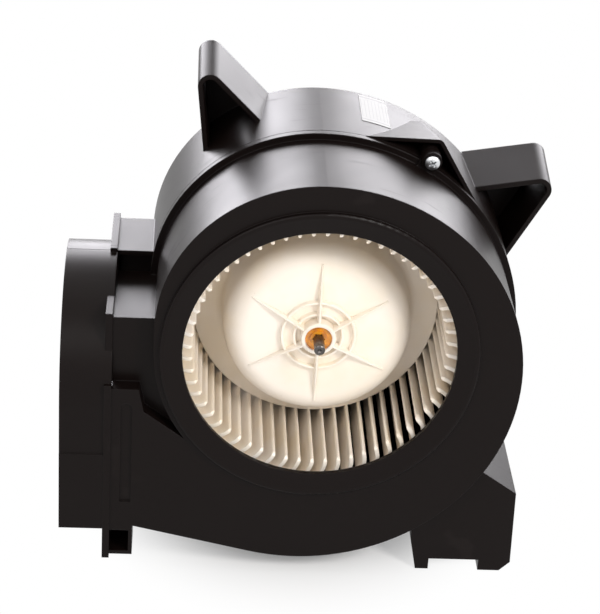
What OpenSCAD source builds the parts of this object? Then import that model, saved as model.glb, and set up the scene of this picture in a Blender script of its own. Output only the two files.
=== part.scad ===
// DC blower: single-inlet centrifugal fan in a two-part scroll housing,
// with a permanent-magnet brush motor behind a bell-shaped impeller hub.
// Millimetres, +Z up. The impeller axis runs along Y and the inlet looks towards -Y.
// The origin is under the middle of the whole part, level with the underside of its foot.

/* [Housing] */
// Depth of the housing, from the inlet face to the rear plate
housing_depth = 128; // [120:1:150]
// Wall thickness of the two mouldings
wall = 2.8; // [2:0.1:3.4]
// Depth at which the two mouldings meet
seam_depth = 65.8; // [62:0.2:70]
// How far the front moulding's seam rib, and the rear moulding, stand outside the front band
rear_growth = 3.7; // [3:0.1:4.5]
// Thickness of the seam rib
seam_rib = 4.2; // [3:0.1:6]
// Gap between the two mouldings at the seam
seam_gap = 0.2; // [0.1:0.05:0.4]

/* [Scroll] */
// Outside radius of the housing beside the tongue, about the impeller axis
tongue_r = 90.5; // [89:0.5:94]
// Height of the straight side above the impeller axis
scroll_lift = 13.3; // [10:0.5:16]
// Radius of the scroll from the straight side to the top
scroll_top_r = 88.7; // [86:0.5:91]
// Radius of the scroll from the top to the right side
scroll_side_r = 113.8; // [110:0.5:116]
// Radius of the scroll from the right side to the bottom
scroll_floor_r = 119.2; // [116:0.5:121]
// Slope of the straight bottom wall, in degrees
floor_rise = 12.7; // [10:0.5:14]
// Angle at which the tongue ends, measured round the impeller axis
tongue_angle = 217; // [214:1:220]

/* [Inlet] */
// Radius of the inlet opening
inlet_r = 75; // [72:0.5:76]
// Radius of the crest of the inlet ring
crest_r = 86; // [84:0.5:86.5]
// Height of the crest over the inlet face
crest_height = 3; // [2:0.5:5]
// How far the bellmouth's lip reaches into the housing
inlet_lip = 4; // [3:0.5:6]

/* [Outlet] */
// Distance from the impeller axis to the outlet flange's inner side
flange_x = 113; // [110:1:118]
// Thickness of the outlet flange
flange_t = 4; // [3:0.5:6]
// Length of the outlet collar beyond the flange
collar_length = 24.5; // [16:0.5:40]
// Depth of the underside of the collar below the impeller axis
collar_floor = 115; // [114:0.5:117]
// Height of the top of the collar over the impeller axis
collar_top = 28; // [24:1:32]
// Height of the front shoulder over the impeller axis
shoulder_top = 15.5; // [12:0.5:18]
// Depth of the lower duct's roof below the impeller axis, at the flange
roof_drop = 24; // [20:1:28]
// Distance from the inlet face back to the front shoulder
shoulder_back = 9.5; // [8:0.5:12]
// Distance from the inlet face to the back of the upper shoulder
upper_back = 108; // [100:1:112]
// How far the flange stands proud of the shoulders
flange_margin = 2.5; // [2:0.5:4]
// Depth of the flange's underside below the impeller axis
flange_floor = 134.5; // [132:0.5:138]
// Radius of the two screw holes at the foot of the flange
flange_hole_r = 2.75; // [2:0.25:3.5]
// Distance of each flange hole from the front and rear faces
flange_hole_inset = 11; // [9:0.5:14]

/* [Ears and foot] */
// Depth of each ear, measured from the rear face forward
ear_depth = 36; // [30:1:40]
// Slope of the ears, in degrees
ear_tilt = 11; // [8:0.5:12]
// Radius of the rounded ear corners
ear_corner_r = 7; // [6:0.5:8]
// Radius of the mounting hole in each ear
ear_hole_r = 3.3; // [2.5:0.1:4]
// Distance from the inlet face back to the foot
foot_back = 8; // [6:0.5:12]
// Depth of the foot's pads below the impeller axis
foot_floor = 142.7; // [142:0.1:150]
// Outer edge of the foot, from the impeller axis
foot_right = 119; // [116:1:122]

/* [Impeller] */
// Outside radius of the impeller
wheel_r = 84; // [80:0.5:84.5]
// Inside radius of the blade ring
blade_inner_r = 70; // [68:0.5:72]
// Number of blades
blade_count = 60; // [36:1:60]
// Thickness of a blade
blade_t = 1.8; // [1:0.1:2.4]
// Distance from the inlet face to the impeller's front ring
wheel_front = 6; // [5.5:0.5:9]
// Distance from the inlet face to the impeller's back
wheel_back = 108; // [100:1:112]
// Distance from the inlet face to the hub disc
hub_front = 26.5; // [24:0.5:30]
// Radius of the hub disc
hub_r = 52; // [50:0.5:55]
// Wall thickness of the hub and rings
hub_t = 2.5; // [2:0.1:3]
// Radius of the hub's boss
boss_r = 9.7; // [9:0.1:12]
// Distance from the inlet face to the end of the boss
boss_front = 20; // [16:1:24]
// Outside radius of the moulded bush
bush_r = 7.5; // [6:0.5:8]
// How deep the bush sits inside the boss
bush_recess = 1.5; // [1:0.5:3]
// Number of radial ribs on the hub disc
rib_count = 6; // [3:1:8]

/* [Motor] */
// Radius of the shaft
shaft_r = 3; // [2.5:0.1:4]
// Distance from the inlet face to the shaft's tip
shaft_front = 7; // [5:0.5:12]
// Outside radius of the motor can
can_r = 42; // [41:0.5:44]
// Wall thickness of the motor can
can_t = 2; // [1.5:0.1:2.5]
// Running gap between the impeller's bush and the motor's nose
nose_gap = 2; // [1.5:0.5:4]
// How far the motor can stands out behind the housing
can_stand = 12; // [10:1:18]
// Radial running clearance of the shaft in its bearings
bearing_play = 0.05; // [0.02:0.01:0.1]
// Outside radius of the bearings
bearing_r = 8; // [7:0.5:9]
// Length of each bearing
bearing_length = 10; // [8:0.5:12]
// Length of the armature's core
core_length = 45; // [40:1:50]
// Air gap between the armature and the magnets
air_gap = 1; // [0.8:0.1:1.5]
// Thickness of the magnets
magnet_t = 7; // [6:0.5:8]
// Number of armature slots
slot_count = 12; // [8:1:16]
// Radius of the commutator
commutator_r = 11; // [9:0.5:12]
// Length of the commutator
commutator_length = 12; // [11:0.5:14]
// Radius of the pads on the motor's mounting flange
motor_pad_r = 9; // [8:0.5:11]
// Radius of the circle of motor screws
motor_screw_circle = 53; // [51:0.5:55]

/* [Fasteners] */
// Radius of a screw's shank
screw_r = 2; // [1.5:0.1:2.2]
// Radius of a screw's head
screw_head_r = 4.2; // [3.5:0.1:4.5]
// Height of a screw's head
screw_head = 3; // [2:0.1:3.5]
// Clearance round a screw's shank
screw_play = 0.1; // [0.05:0.05:0.3]
// Radius of a screw boss
boss_post_r = 5.5; // [5:0.1:6]
// Distance from the front band out to the seam screws
post_out = 7; // [6.5:0.1:8]

/* [Hidden] */
$fn = 96;

// Reach of helper cuts past a surface
cut = 1;
// Reach of helper cuts past the whole part
far = 400;
// How far inside a round corner its straight sides end, so that they cross it
nip = 0.01;

// Centres of the three scroll arcs; each is tangent to the next
arc1 = [scroll_top_r - tongue_r, scroll_lift];
arc2 = arc1 + [0, scroll_top_r - scroll_side_r];
arc3 = arc2 + [scroll_side_r - scroll_floor_r, 0];
floor_normal = -90 - floor_rise;

// Corners of the lower duct's roof, from the flange to the tongue
roof_knee_x = -(flange_x - 15);
roof_bend = [-(flange_x - 18), -(roof_drop + 14)];
tongue_overlap = 6;

// Inner end of the shoulders, inside the scroll
shoulder_inner_x = -75;
shoulder_low = -60;

// Collar
collar_r = housing_depth / 2;
collar_end = flange_x + flange_t + collar_length;
// Front face of the collar's thicker lower part
crease_drop = 66;
crease_step = 0.8;

// Nut pockets behind the flange holes
pocket_w = 13;
pocket_d = 2 * flange_hole_inset;
flange_hole_z = -(flange_floor - 9.5);

// Seam posts: [centre of arc, radius there, direction]
posts = [[arc2, scroll_side_r, 60], [arc3, scroll_floor_r, -72], [arc3, scroll_floor_r, floor_normal]];
post_slide = [0, 0, 48];
hood_reach = 13.4;
hood_corner_r = 4;
hood_half = 26.5;
hood_tilt = 13;
hood_sink = -4;
// The hoods have sunk into the band this far behind the seam
hood_length = (hood_reach - rear_growth) / tan(hood_tilt) + 6;
post_length = 20;

// A point beside an arc of the scroll: p holds its direction and how far outside the arc it lies
function beside(c, r, p) = c + (r + p[1]) * [cos(p[0]), sin(p[0])];
// Ears: [first base, second base, centre of the corner], with the bases sunk into the scroll
left_ear = [for (p = [[138.55, -3.05], [109.71, -5.1], [121.33, 31.3]]) beside(arc1, scroll_top_r, p)];
right_ear = [for (p = [[40.31, -1.27], [10.5, -5.18], [29.73, 33.38]]) beside(arc2, scroll_side_r, p)];
left_ear_hole = left_ear[2] + [3.2, -3.8];
right_ear_hole = right_ear[2] - [8.5, 1.2];
ear_front = housing_depth - ear_depth;

// Foot
foot_left = 60;
foot_top = [98, -76.2];
foot_shoulder = [foot_right - 1.2, -89.7];
foot_chamfer = 6;
pad_w = 7.5;
pad_right_w = 12.5;
pad_height = 7;
foot_deep = seam_depth - seam_gap;
foot_web = 2.2;

// Impeller
blade_curve_r = wheel_r - blade_inner_r;
bell_r = blade_inner_r - 1;
bell_round = 10;
ring_w = 4.5;
blade_chamfer = 3;
rib_height = 5.5;
rib_reach = hub_r - 8.7;
ring_rib_r = [13.5, 20.3];
ring_rib_height = 3;
bush_front = boss_front + bush_recess;
clip_t = 1;
clip_front = bush_front - clip_t;
clip_reach = 1.8;

// Motor
nose_t = 2;
nose_r = bearing_r + nose_t;
hub_back = hub_front + 5;
nose_front = hub_back + nose_gap + nose_t;
can_front = nose_front + bearing_length - can_t;
can_back = housing_depth + can_stand;
cap_t = 3;
cap_back = can_back + cap_t;
rear_bearing_front = can_back;
nose_back = rear_bearing_front + bearing_length + nose_t;
shaft_back = nose_back - nose_t - 0.5;
magnet_r = can_r - can_t;
core_r = magnet_r - magnet_t - air_gap;
end_play = 0.3;
washer_t = 1;
winding_end = 8;
comm_back = rear_bearing_front - washer_t - 2 * end_play;
comm_front = comm_back - commutator_length;
core_back = comm_front - winding_end - 2;
core_front = core_back - core_length;
brush_w = 6.5;
brush_h = 8;
brush_play = 0.1;
brush_length = 12;
brush_y = (comm_front + comm_back) / 2;
plate_front = can_back - 3;
motor_flange_t = 2.5;
motor_opening_r = can_r + 1.5;
motor_boss_length = 14;
shaft_edge = 0.5;
centre_r = 1.2;
bar_groove_d = 1.2;
bar_gap = 0.6;

// Connector on the end cap
plug_w = 20;
plug_d = 13;
plug_h = 18;
plug_wall = 1.8;
plug_z = -38;
blade_contact_t = 0.8;

// Cross recess of the screw heads
recess_l = 4;
recess_w = 0.8;
recess_d = 1.4;

// Place of the whole part over its own origin
part_left = -collar_end;
part_right = right_ear[2][0] + ear_corner_r;
part_front = -crest_height;
part_back = cap_back + plug_d;
shift = [-(part_left + part_right) / 2, -(part_front + part_back) / 2, foot_floor];

black = [0.055, 0.05, 0.05];
ivory = [0.93, 0.9, 0.82];
steel = [0.7, 0.71, 0.73];
zinc = [0.62, 0.63, 0.65];

// ---- helpers ----

// Moves a piece from the impeller's axis to the part's own frame
module placed() { translate(shift) children(); }

// A flat outline in X and Z, made solid from depth y0 to y1
module slab(y0, y1) { translate([0, y1, 0]) rotate([90, 0, 0]) linear_extrude(y1 - y0) children(); }

// An outline in Y and Z, made solid from x0 to x1
module across(x0, x1) { translate([x0, 0, 0]) rotate([90, 0, 90]) linear_extrude(x1 - x0) children(); }

// An outline of radius and depth, turned about the impeller's axis
module spun() { rotate([-90, 0, 0]) rotate_extrude() children(); }

module rod(r, y0, y1) { translate([0, y0, 0]) rotate([-90, 0, 0]) cylinder(r = r, h = y1 - y0); }

module tube(r_out, r_in, y0, y1) {
    difference() {
        rod(r_out, y0, y1);
        rod(r_in, y0 - cut, y1 + cut);
    }
}

module ring_of(count, start = 0) {
    for (i = [0 : count - 1]) rotate([0, -(start + i * 360 / count), 0]) children();
}

module at_motor_screws() { ring_of(3, 30) translate([motor_screw_circle, 0, 0]) children(); }

// A sector of a disc between two directions
module pie(c, r, a0, a1) {
    am = (a0 + a1) / 2;
    translate(c) intersection() {
        circle(r);
        polygon([[0, 0], 2 * r * [cos(a0), sin(a0)], 2 * r * [cos(am), sin(am)], 2 * r * [cos(a1), sin(a1)]]);
    }
}

// Place of a seam post: local X points out of the scroll, local Z along its wall
module at_post(i) {
    p = posts[i];
    translate([p[0][0], 0, p[0][1]]) rotate([0, -p[2], 0]) translate([p[1], 0, -post_slide[i]]) children();
}

// Point where the line from p touches a circle; s picks the side
function heading(p, c, r, s) = atan2(c[1] - p[1], c[0] - p[0]) + s * asin(r / norm(c - p));
function touch(p, c, r, s) = let (h = heading(p, c, r, s), l = sqrt(pow(norm(c - p), 2) - r * r))
    p + l * [cos(h), sin(h)];
// The point moved inward by t, at right angles to that line
function inward(p, c, r, s, t) = let (h = heading(p, c, r, s)) p + t * s * [sin(h), -cos(h)];

// A triangle with a rounded corner c, standing on the points a and b, shrunk by t
module horn(a, b, c, r, t) {
    a_in = inward(a, c, r, 1, t);
    b_in = inward(b, c, r, -1, t);
    polygon([a_in, touch(a_in, c, r - t - nip, 1), c, touch(b_in, c, r - t - nip, -1), b_in]);
    translate(c) circle(r - t);
}

// ---- housing outlines ----

// The scroll's outline, grown by g
module scroll(g) {
    pie([0, 0], tongue_r + g, 180, tongue_angle + 5);
    translate([-(tongue_r + g), 0]) square([tongue_r + g, scroll_lift]);
    pie(arc1, scroll_top_r + g, 90, 180);
    pie(arc2, scroll_side_r + g, 0, 90);
    pie(arc3, scroll_floor_r + g, floor_normal, 0);
    translate([-40, arc2[1]]) square([45, scroll_lift - arc2[1]]);
}

function floor_end(g) = arc3 + (scroll_floor_r + g) * [cos(floor_normal), sin(floor_normal)];
function floor_at(x, g) = floor_end(g)[1] + (floor_end(g)[0] - x) * tan(floor_rise);

// The lower duct from the scroll to the flange: g grows its floor, t lowers its roof
module lower_duct(g, t, x_end) {
    tip = (tongue_r + g + t) * [cos(tongue_angle), sin(tongue_angle)];
    run = (roof_bend - tip) / norm(roof_bend - tip);
    inner = t * [-run[1], run[0]];
    polygon([
        [0, 0], arc3, floor_end(g), [x_end, floor_at(x_end, g)],
        [x_end, -roof_drop - t], [roof_knee_x - t, -roof_drop - t], roof_bend + inner,
        tip + inner - tongue_overlap * run
    ]);
}

// A shoulder between the scroll and the flange, with its top at z
module shoulder(z, x_end) {
    translate([x_end, shoulder_low]) square([shoulder_inner_x - x_end, z - shoulder_low]);
}

// Outside of one moulding: g grows its scroll
module outside(g, y0, y1) {
    slab(y0, y1) {
        scroll(g);
        lower_duct(g, 0, -flange_x);
    }
}

// Hollow of the housing: g grows the scroll's inner wall
module hollow(g, y0, y1) {
    slab(y0, y1) {
        scroll(g - wall);
        lower_duct(g - wall, wall, -(flange_x + cut));
        circle(tongue_r + g - wall);
    }
}

// Hollow of a shoulder, outside the tongue's wall
module shoulder_hollow(z, g, y0, y1) {
    slab(y0, y1) difference() {
        shoulder(z - wall, -(flange_x + cut));
        circle(tongue_r + g);
    }
}

// The outlet's outline, an arch on straight sides, shrunk by t
module arch(t) {
    translate([collar_r, collar_top - collar_r]) circle(collar_r - t);
    translate([t, -collar_floor + t])
        square([housing_depth - 2 * t, collar_top - collar_r + collar_floor - t]);
}

// The stepped flange's outline
module flange_outline() {
    m = flange_margin;
    translate([-m / 2, -flange_floor]) square([housing_depth + m, flange_floor - roof_drop + m]);
    translate([shoulder_back - m / 2, -roof_drop])
        square([housing_depth + m - shoulder_back, roof_drop + shoulder_top + m]);
    translate([seam_depth - m, shoulder_top])
        square([upper_back - seam_depth + 1.5 * m, collar_top - shoulder_top + m]);
}

module outlet_outside() {
    across(-(flange_x + flange_t), -flange_x) flange_outline();
    across(-collar_end, -flange_x) arch(0);
    translate([-collar_end, -crease_step, -collar_floor])
        cube([collar_length + flange_t, wall, collar_floor - crease_drop]);
}

module outlet_hollow() {
    across(-(collar_end + cut), -flange_x) arch(wall);
    for (y = [flange_hole_inset, housing_depth - flange_hole_inset])
        translate([-(flange_x + flange_t + cut), y, flange_hole_z]) rotate([0, 90, 0])
            cylinder(r = flange_hole_r, h = flange_t + 2 * cut);
}

// A nut pocket behind a flange hole, open towards the front or the rear
module nut_pocket(y0) {
    translate([-flange_x, y0, -(flange_floor - 2)])
        cube([pocket_w, pocket_d, flange_floor - 2 + floor_at(-flange_x + pocket_w, 0) + wall]);
}

module nut_pocket_hollow(y0) {
    translate([-flange_x, y0, -(flange_floor - 2) + foot_web])
        cube([pocket_w - foot_web, pocket_d, 14]);
}

// ---- housing ----

// The inlet ring: an outer step, a rounded crest and a bellmouth that turns into a lip
module inlet_ring(extra) {
    lip_t = 2.2;
    round_r = 1.2;
    crest_in = crest_r - 2;
    crest_out = crest_r + 1.5;
    c = [crest_in + round_r, round_r - crest_height];
    mouth = [inlet_r, 0];
    spun() {
        translate([inlet_r + lip_t / 2, 0]) square([crest_out - inlet_r - lip_t / 2, wall]);
        translate([crest_in, c[1]]) square([crest_out - crest_in, extra - c[1]]);
        translate([c[0], -crest_height]) square([crest_out - crest_in - 2 * round_r, crest_height]);
        for (x = [c[0], crest_out - round_r]) translate([x, c[1]]) circle(round_r);
        polygon([[inlet_r, inlet_lip], mouth, touch(mouth, c, round_r - nip, -1), c, [crest_in, wall],
                 [inlet_r + lip_t, wall], [inlet_r + lip_t, inlet_lip]]);
    }
}

// A boss for a seam screw in the front moulding
module front_post(i) {
    at_post(i) translate([post_out, 0, 0])
        rod(boss_post_r, seam_depth - seam_gap - seam_rib - 4, seam_depth - seam_gap);
    at_post(i) slab(seam_depth - seam_gap - seam_rib - 2, seam_depth - seam_gap)
        translate([-wall / 2, -boss_post_r]) square([post_out + wall / 2, 2 * boss_post_r]);
}

// Outline of the foot, from the front, shrunk by t
module foot_outline(t) {
    z0 = -foot_floor;
    polygon([
        [foot_top[0] - 20, foot_top[1] - t], [foot_top[0], foot_top[1] - t],
        [foot_shoulder[0] - t, foot_shoulder[1] - t / 2], [foot_right - t, z0 + foot_chamfer + t / 2],
        [foot_right - foot_chamfer - t / 2, z0 + t], [foot_right - foot_chamfer - pad_right_w + t, z0 + t],
        [foot_right - foot_chamfer - pad_right_w + t, z0 + pad_height + t],
        [foot_left + 4 + pad_w - t, z0 + pad_height + t], [foot_left + 4 + pad_w - t, z0 + t],
        [foot_left + 4 + t, z0 + t], [foot_left + t, z0 + 20], [foot_left + t, z0 + 30]
    ]);
}

module foot() {
    difference() {
        slab(foot_back, foot_deep) foot_outline(0);
        slab(foot_back + foot_web, foot_deep + cut) difference() {
            foot_outline(foot_web);
            for (x = [foot_left + 20, foot_left + 39])
                translate([x, -foot_floor - cut]) square([foot_web, 90]);
        }
    }
}

// The relief in the front panel beside the flange: a tall slot with a round top
module panel_relief() {
    w = 6;
    slab(-cut, 1.2) translate([-(flange_x - 8.5), 0]) {
        translate([-w / 2, -(collar_floor - 18)]) square([w, collar_floor - 18 - roof_drop - 12]);
        translate([0, -roof_drop - 12]) circle(w / 2);
    }
}

module front_housing() {
    front_end = seam_depth - seam_gap;
    color(black) placed() difference() {
        union() {
            outside(0, 0, front_end - seam_rib);
            outside(rear_growth, front_end - seam_rib, front_end);
            slab(shoulder_back, front_end) shoulder(shoulder_top, -flange_x);
            inlet_ring(wall);
            intersection() {
                outlet_outside();
                translate([-far, -far, -far]) cube([far, far + front_end, 2 * far]);
            }
            nut_pocket(0);
            foot();
            for (i = [0 : 2]) front_post(i);
        }
        hollow(0, wall, front_end + cut);
        hollow(rear_growth, front_end - seam_rib + wall, front_end + cut);
        shoulder_hollow(shoulder_top, 0, shoulder_back + wall, front_end + cut);
        outlet_hollow();
        nut_pocket_hollow(-cut);
        rod(inlet_r, -crest_height - cut, wall + cut);
        panel_relief();
        for (i = [0 : 2]) at_post(i) translate([post_out, 0, 0])
            rod(screw_r + screw_play, seam_depth / 2, seam_depth + cut);
    }
}

module hood_outline(t) {
    half = hood_half + 14;
    horn([hood_sink, half], [hood_sink, -half], [hood_reach, 0], hood_corner_r, t);
}

// An ear: a tilted hollow horn, open to the front
module ear(e, t, y0, y1) {
    intersection() {
        translate([0, ear_front, 0]) rotate([ear_tilt, 0, 0]) slab(-30, ear_depth + 30)
            horn(e[0], e[1], e[2], ear_corner_r, t);
        translate([-far / 2, y0, -far / 2]) cube([far, y1 - y0, far]);
    }
}

module rear_shell(y0, y1) {
    difference() {
        union() {
            outside(rear_growth, y0, y1);
            slab(y0, y1) shoulder(shoulder_top, -flange_x);
            slab(y0, upper_back) shoulder(collar_top, -flange_x);
            intersection() {
                outlet_outside();
                translate([-far, y0, -far]) cube([far, far, 2 * far]);
            }
            nut_pocket(y1 - pocket_d);
            for (e = [left_ear, right_ear]) difference() {
                ear(e, 0, ear_front, y1);
                ear(e, wall, ear_front - cut, y1 - wall);
            }
            for (i = [0 : 2]) at_post(i) difference() {
                hood(0, y0, y0 + hood_length);
                hood(foot_web, y0 - cut, y0 + hood_length - wall);
            }
        }
        hollow(rear_growth, y0 - cut, y1 - wall);
        shoulder_hollow(shoulder_top, rear_growth, y0 - cut, y1 - wall);
        shoulder_hollow(collar_top, rear_growth, y0 - cut, upper_back - wall);
        outlet_hollow();
        nut_pocket_hollow(y1 - pocket_d + cut);
    }
}

module rear_housing() {
    y0 = seam_depth;
    y1 = housing_depth;
    color(black) placed() difference() {
        union() {
            rear_shell(y0, y1);
            at_motor_screws() rod(boss_post_r, y1 - motor_boss_length, y1 - cut);
            for (i = [0 : 2]) at_post(i) {
                translate([post_out, 0, 0]) rod(boss_post_r, y0, y0 + post_length);
                slab(y0, y0 + post_length) translate([rear_growth - wall / 2, -foot_web / 2])
                    square([post_out - rear_growth + wall / 2, foot_web]);
            }
        }
        rod(motor_opening_r, y1 - wall - cut, y1 + cut);
        for (p = [left_ear_hole, right_ear_hole])
            translate([p[0], 0, p[1]]) rod(ear_hole_r, y1 - wall - cut, y1 + cut);
        for (i = [0 : 2]) at_post(i) translate([post_out, 0, 0])
            rod(screw_r + screw_play, y0 - cut, y0 + post_length - 2);
        at_motor_screws() rod(screw_r + screw_play, y1 - 12, y1 + cut);
    }
}

// A hood over a seam screw: a horn that sinks into the band towards the rear
module hood(t, y0, y1) {
    intersection() {
        translate([0, seam_depth, 0]) rotate([0, 0, hood_tilt]) slab(-20, housing_depth) hood_outline(t);
        translate([-20, y0, -60]) cube([60, y1 - y0, 120]);
    }
}

// ---- impeller and shaft ----

// One forward-curved blade: a strip of a circle that starts out radially and leans towards the spin
module blade() {
    intersection() {
        difference() {
            circle(wheel_r - 0.5);
            circle(blade_inner_r);
        }
        translate([blade_inner_r, -blade_curve_r]) difference() {
            circle(blade_curve_r + blade_t / 2);
            circle(blade_curve_r - blade_t / 2);
        }
        translate([blade_inner_r - 2, -blade_curve_r]) square(3 * blade_curve_r);
    }
}

// Profile of the hub's bell in radius and depth, shrunk by t
module bell(t) {
    c = [hub_r - bell_round, hub_front + bell_round];
    foot = inward([bell_r, wheel_back], c, bell_round, 1, t);
    polygon([[0, hub_front + t], [c[0], hub_front + t], c, touch(foot, c, bell_round - t, 1), foot,
             [0, wheel_back]]);
    translate(c) circle(bell_round - t);
}

module impeller() {
    color(ivory) placed() difference() {
        union() {
            difference() {
                slab(wheel_front, wheel_back) for (i = [0 : blade_count - 1])
                    rotate(i * 360 / blade_count) blade();
                // The blades are cut back where the air comes in
                spun() polygon([
                    [0, wheel_front - cut], [blade_inner_r + blade_chamfer, wheel_front - cut],
                    [blade_inner_r + blade_chamfer, wheel_front],
                    [blade_inner_r, wheel_front + blade_chamfer], [0, wheel_front + blade_chamfer]
                ]);
            }
            tube(wheel_r, wheel_r - ring_w, wheel_front, wheel_front + hub_t);
            tube(wheel_r, bell_r - hub_t, wheel_back - hub_t, wheel_back);
            spun() difference() {
                bell(0);
                bell(hub_t);
                translate([0, wheel_back]) square(far);
            }
            rod(boss_r, boss_front, hub_back);
            for (r = ring_rib_r) tube(r + 0.8, r - 0.8, hub_front - ring_rib_height, hub_front + 0.5);
            ring_of(rib_count, 90) linear_extrude(2.2, center = true) polygon([
                [boss_r - 1, hub_front + 0.5], [rib_reach, hub_front + 0.5],
                [boss_r - 1, hub_front - rib_height]]);
        }
        rod(bush_r, boss_front - cut, hub_back + cut);
    }
}

module hub_bush() {
    color([0.85, 0.55, 0.12]) placed() tube(bush_r, shaft_r, bush_front, hub_back);
}

// A push-on clip that keeps the impeller on its shaft, with slots between its prongs
module shaft_clip() {
    color([0.6, 0.4, 0.12]) placed() difference() {
        tube(shaft_r + clip_reach, shaft_r, clip_front, clip_front + clip_t);
        ring_of(6) translate([shaft_r, 0, 0]) rod(0.5, clip_front - cut, bush_front + cut);
    }
}

module motor_shaft() {
    color(steel) placed() difference() {
        union() {
            rod(shaft_r, shaft_front + 0.5, shaft_back);
            spun() polygon([[0, shaft_front], [shaft_r - shaft_edge, shaft_front],
                            [shaft_r, shaft_front + shaft_edge], [0, shaft_front + shaft_edge]]);
        }
        spun() polygon([[0, shaft_front - cut], [centre_r, shaft_front - cut],
                        [centre_r, shaft_front], [0, shaft_front + centre_r]]);
    }
}

// ---- motor ----

// A drawn steel can: a closed front end with a nose for the bearing
module motor_can() {
    color(zinc) placed() union() {
        tube(can_r, magnet_r, can_front, can_back);
        tube(can_r, bearing_r, can_front, can_front + can_t);
        tube(nose_r, bearing_r, nose_front, can_front + can_t);
        tube(nose_r, shaft_r + 1, nose_front - nose_t, nose_front);
    }
}

module motor_end_cap() {
    color(zinc) placed() union() {
        tube(can_r, bearing_r, can_back, cap_back);
        tube(nose_r, bearing_r, rear_bearing_front, nose_back - nose_t);
        rod(nose_r, nose_back - nose_t, nose_back);
    }
}

// A plate round the can, with a pad for each motor screw
module motor_flange() {
    y0 = housing_depth;
    y1 = housing_depth + motor_flange_t;
    web = motor_pad_r - 2;
    color(zinc) placed() difference() {
        union() {
            rod(can_r + 4, y0, y1);
            at_motor_screws() rod(motor_pad_r, y0, y1);
            at_motor_screws() translate([-motor_screw_circle, 0, 0]) slab(y0, y1)
                translate([0, -web]) square([motor_screw_circle, 2 * web]);
        }
        rod(can_r, y0 - cut, y1 + cut);
        at_motor_screws() rod(screw_r + screw_play, y0 - cut, y1 + cut);
    }
}

module bearing(y) {
    tube(bearing_r, shaft_r + bearing_play, y, y + bearing_length);
}

module front_bearing() {
    color([0.6, 0.45, 0.28]) placed() bearing(nose_front);
}

module rear_bearing() {
    color([0.6, 0.45, 0.28]) placed() bearing(rear_bearing_front);
}

// Fibre washers on the shaft, one inside each bearing
module thrust_washers() {
    color([0.35, 0.2, 0.12]) placed() union() {
        for (y = [nose_front + bearing_length + end_play, rear_bearing_front - end_play - washer_t])
            tube(bearing_r - 1.5, shaft_r, y, y + washer_t);
    }
}

module magnets() {
    color([0.2, 0.2, 0.21]) placed() for (a = [0, 180]) rotate([0, a, 0])
        slab(core_front - 6, core_back + 6) difference() {
            pie([0, 0], magnet_r, -65, 65);
            circle(magnet_r - magnet_t);
        }
}

// Bent spring strips that hold the two magnets apart against the can
module magnet_springs() {
    color(steel) placed() for (a = [90, 270]) rotate([0, a, 0])
        slab(core_front, core_back) difference() {
            pie([0, 0], magnet_r, -24.8, 24.8);
            circle(magnet_r - 1);
        }
}

// The laminated core: teeth with overhanging tips between the slots
module armature_core() {
    neck = 2.5;
    color([0.45, 0.46, 0.48]) placed() slab(core_front, core_back) difference() {
        circle(core_r);
        circle(shaft_r);
        for (i = [0 : slot_count - 1]) rotate(i * 360 / slot_count) {
            translate([core_r - 9, 0]) circle(4.2);
            translate([core_r - 9, -neck / 2]) square([12, neck]);
        }
    }
}

module windings() {
    r_in = shaft_r + 7;
    r_out = core_r - 3;
    round_r = 3;
    color([0.7, 0.33, 0.13]) placed() union() {
        for (y = [core_front - winding_end, core_back]) spun() {
            translate([r_in, y + (y < core_front ? round_r : 0)])
                square([r_out - r_in, winding_end - round_r]);
            translate([r_in + round_r, y + (y < core_front ? 0 : round_r)])
                square([r_out - r_in - 2 * round_r, winding_end - round_r]);
            for (x = [r_in + round_r, r_out - round_r])
                translate([x, y < core_front ? y + round_r : y + winding_end - round_r]) circle(round_r);
        }
        for (i = [0 : slot_count - 1]) rotate([0, -i * 360 / slot_count, 0])
            translate([core_r - 9, 0, 0]) rod(4.1, core_front, core_back);
    }
}

// Copper bars on a moulded sleeve, parted by narrow gaps, with a riser at the winding end
module commutator() {
    color([0.72, 0.42, 0.2]) placed() difference() {
        union() {
            tube(commutator_r, shaft_r, comm_front, comm_back);
            tube(commutator_r + 1.8, shaft_r, comm_front, comm_front + 1.5);
        }
        ring_of(slot_count, 15) translate([commutator_r - bar_groove_d, comm_front - cut, -bar_gap / 2])
            cube([5, commutator_length + 2 * cut, bar_gap]);
    }
}

module brush_plate() {
    color([0.35, 0.23, 0.14]) placed() tube(magnet_r, commutator_r + 2.5, plate_front, can_back);
}

// Each brush and its holder lie along local X, against the commutator
module at_brushes() {
    for (a = [0, 180]) rotate([0, a, 0]) translate([commutator_r + brush_play, brush_y, 0]) children();
}

module brush_holders() {
    t = 1;
    back = magnet_r - commutator_r - 2;
    color([0.75, 0.62, 0.3]) placed() at_brushes() difference() {
        translate([3, -brush_w / 2 - brush_play - t, -brush_h / 2 - brush_play - t])
            cube([back - 3, plate_front - brush_y + brush_w / 2 + brush_play + t,
                  brush_h + 2 * brush_play + 2 * t]);
        translate([2, -brush_w / 2 - brush_play, -brush_h / 2 - brush_play])
            cube([back - 2 - t, brush_w + 2 * brush_play, brush_h + 2 * brush_play]);
    }
}

module brushes() {
    color([0.16, 0.16, 0.17]) placed() at_brushes()
        translate([0, -brush_w / 2, -brush_h / 2]) cube([brush_length, brush_w, brush_h]);
}

// Closely wound springs behind the brushes
module brush_springs() {
    wire = 0.45;
    coil_r = 2.4;
    start = brush_length + wire;
    end = magnet_r - commutator_r - 3 - wire;
    turns = floor((end - start) / (1.8 * wire));
    pitch = (end - start) / turns;
    color(steel) placed() at_brushes() rotate([0, 90, 0]) rotate_extrude() {
        for (i = [0 : turns]) translate([coil_r, start + i * pitch]) circle(wire);
        translate([coil_r - wire / 2, start]) square([wire, end - start]);
    }
}

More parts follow.
